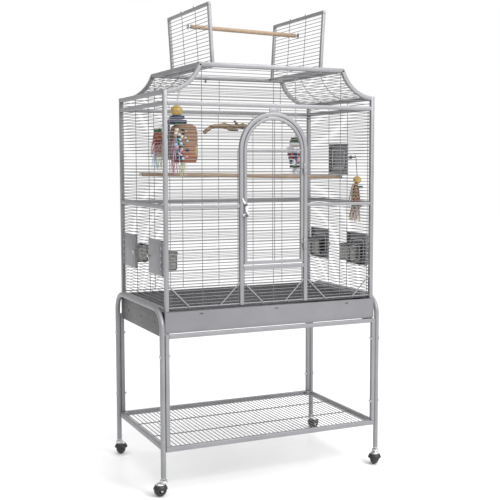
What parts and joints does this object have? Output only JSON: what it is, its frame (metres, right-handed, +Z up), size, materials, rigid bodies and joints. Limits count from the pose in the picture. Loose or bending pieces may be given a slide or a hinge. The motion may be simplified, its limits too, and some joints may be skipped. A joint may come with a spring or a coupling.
{
  "type": "bird cage on stand",
  "caption": "Wire bird cage with an arched front door, open roof flaps with a play perch, a pull-out tray and a rolling stand with a storage shelf.",
  "frame": {"origin": "on the floor under the middle of the cage", "axes": "+Z up, front with the door towards -Y, +X to the right seen from the front"},
  "size_m": [0.961, 0.6174, 1.7619],
  "materials": {
    "powder_coat": "silver grey powder coat on steel tube and wire",
    "tray_coat": "silver grey powder coat on sheet steel",
    "bright_steel": "plain and polished steel",
    "wheel_tread": "black moulded wheel",
    "perch_wood": "turned hardwood dowel",
    "branch_bark": "natural branch with bark",
    "toy_fibre": "woven plant fibre, paper and coloured wood beads",
    "toy_paint": "painted wood blocks"
  },
  "bodies": {
    "root": {"stand_side_frame_left": "powder_coat", "stand_side_frame_right": "powder_coat", "stand_front_frame": "powder_coat", "stand_back_frame": "powder_coat", "storage_shelf": "powder_coat", "tray_runner_left": "powder_coat", "tray_runner_right": "powder_coat", "grate_rail_left": "powder_coat", "grate_rail_right": "powder_coat", "back_skirt": "powder_coat", "front_grille_left": "powder_coat", "front_grille_right": "powder_coat", "front_grille_lower": "powder_coat", "door_frame": "powder_coat", "front_gable": "powder_coat", "back_gable": "powder_coat", "back_grille": "powder_coat", "side_wall_left": "powder_coat", "side_wall_right": "powder_coat", "door_hinge_lower": "bright_steel", "door_hinge_upper": "bright_steel", "roof_ring": "powder_coat", "roof_slope_left": "powder_coat", "roof_slope_right": "powder_coat", "long_perch": "perch_wood", "branch_perch": "branch_bark", "toy_hook": "bright_steel"},
    "tray": {"tray": "tray_coat"},
    "floor_grate": {"floor_grate": "powder_coat"},
    "front_door": {"front_door": "powder_coat"},
    "door_latch": {"door_latch": "bright_steel"},
    "side_hatch": {"side_hatch": "powder_coat"},
    "flap_left": {"roof_flap_left": "powder_coat", "top_perch": "perch_wood", "perch_bolt_left": "bright_steel"},
    "flap_right": {"roof_flap_right": "powder_coat", "perch_bolt_right": "bright_steel"},
    "toy_basket": {"toy_basket": "toy_fibre"},
    "toy_blocks": {"toy_blocks": "toy_paint"},
    "toy_tassel": {"toy_tassel": "toy_fibre"},
    "caster_front_left": {"caster_fork_front_left": "bright_steel"},
    "wheel_front_left": {"caster_wheel_front_left": "wheel_tread"},
    "caster_front_right": {"caster_fork_front_right": "bright_steel"},
    "wheel_front_right": {"caster_wheel_front_right": "wheel_tread"},
    "caster_back_right": {"caster_fork_back_right": "bright_steel"},
    "wheel_back_right": {"caster_wheel_back_right": "wheel_tread"},
    "caster_back_left": {"caster_fork_back_left": "bright_steel"},
    "wheel_back_left": {"caster_wheel_back_left": "wheel_tread"},
    "feeder_left_front": {"feeder_door_left_front": "powder_coat", "feeder_cup_left_front": "bright_steel"},
    "feeder_left_back": {"feeder_door_left_back": "powder_coat", "feeder_cup_left_back": "bright_steel"},
    "feeder_right_front": {"feeder_door_right_front": "powder_coat", "feeder_cup_right_front": "bright_steel"},
    "feeder_right_back": {"feeder_door_right_back": "powder_coat", "feeder_cup_right_back": "bright_steel"}
  },
  "joints": [
    {"name": "swivel_front_left", "type": "hinge", "parent": "root", "child": "caster_front_left", "pos_m": [-0.442, -0.274, 0.06], "axis": [0, 0, 1], "continuous": true},
    {"name": "roll_front_left", "type": "hinge", "parent": "caster_front_left", "child": "wheel_front_left", "pos_m": [-0.454, -0.274, 0.024], "axis": [0, 1, 0], "continuous": true},
    {"name": "swivel_front_right", "type": "hinge", "parent": "root", "child": "caster_front_right", "pos_m": [0.442, -0.274, 0.06], "axis": [0, 0, 1], "continuous": true},
    {"name": "roll_front_right", "type": "hinge", "parent": "caster_front_right", "child": "wheel_front_right", "pos_m": [0.43351, -0.28248, 0.024], "axis": [-0.7071, 0.7071, 0], "continuous": true},
    {"name": "swivel_back_right", "type": "hinge", "parent": "root", "child": "caster_back_right", "pos_m": [0.442, 0.274, 0.06], "axis": [0, 0, 1], "continuous": true},
    {"name": "roll_back_right", "type": "hinge", "parent": "caster_back_right", "child": "wheel_back_right", "pos_m": [0.454, 0.274, 0.024], "axis": [0, -1, 0], "continuous": true},
    {"name": "swivel_back_left", "type": "hinge", "parent": "root", "child": "caster_back_left", "pos_m": [-0.442, 0.274, 0.06], "axis": [0, 0, 1], "continuous": true},
    {"name": "roll_back_left", "type": "hinge", "parent": "caster_back_left", "child": "wheel_back_left", "pos_m": [-0.43351, 0.28248, 0.024], "axis": [0.7071, -0.7071, 0], "continuous": true},
    {"name": "tray_slide", "type": "slide", "parent": "root", "child": "tray", "axis": [0, -1, 0], "range_m": [0, 0.48]},
    {"name": "grate_slide", "type": "slide", "parent": "root", "child": "floor_grate", "axis": [0, -1, 0], "range_m": [0, 0.34]},
    {"name": "door_hinge", "type": "hinge", "parent": "root", "child": "front_door", "pos_m": [0.1225, -0.274, 1], "axis": [0, 0, 1], "range_deg": [0, 165]},
    {"name": "latch_turn", "type": "hinge", "parent": "front_door", "child": "door_latch", "pos_m": [-0.1155, -0.2715, 1.036], "axis": [0, -1, 0], "range_deg": [0, 80]},
    {"name": "feeder_hinge_left_front", "type": "hinge", "parent": "root", "child": "feeder_left_front", "pos_m": [-0.4273, -0.227, 0.848], "axis": [0, 0, 1], "range_deg": [0, 110]},
    {"name": "feeder_hinge_left_back", "type": "hinge", "parent": "root", "child": "feeder_left_back", "pos_m": [-0.4273, 0.227, 0.848], "axis": [0, 0, -1], "range_deg": [0, 110]},
    {"name": "feeder_hinge_right_front", "type": "hinge", "parent": "root", "child": "feeder_right_front", "pos_m": [0.4273, -0.227, 0.848], "axis": [0, 0, -1], "range_deg": [0, 110]},
    {"name": "feeder_hinge_right_back", "type": "hinge", "parent": "root", "child": "feeder_right_back", "pos_m": [0.4273, 0.227, 0.848], "axis": [0, 0, 1], "range_deg": [0, 110]},
    {"name": "hatch_hinge", "type": "hinge", "parent": "root", "child": "side_hatch", "pos_m": [0.4273, 0.072, 1.204], "axis": [0, 0, 1], "range_deg": [0, 110]},
    {"name": "flap_lean_left", "type": "hinge", "parent": "root", "child": "flap_left", "pos_m": [-0.22, 0, 1.536], "axis": [0, -1, 0], "range_deg": [0, 20]},
    {"name": "flap_lean_right", "type": "hinge", "parent": "root", "child": "flap_right", "pos_m": [0.22, 0, 1.536], "axis": [0, 1, 0], "range_deg": [0, 20]},
    {"name": "basket_swing", "type": "hinge", "parent": "root", "child": "toy_basket", "pos_m": [-0.296, -0.1, 1.508], "axis": [0, 1, 0], "range_deg": [-15, 3]},
    {"name": "blocks_swing", "type": "hinge", "parent": "root", "child": "toy_blocks", "pos_m": [0.238, 0.032, 1.526], "axis": [0, 1, 0], "range_deg": [-12, 12]},
    {"name": "tassel_swing", "type": "hinge", "parent": "root", "child": "toy_tassel", "pos_m": [0.378, -0.215, 1.208], "axis": [0, 1, 0], "range_deg": [-3, 18]}
  ]
}
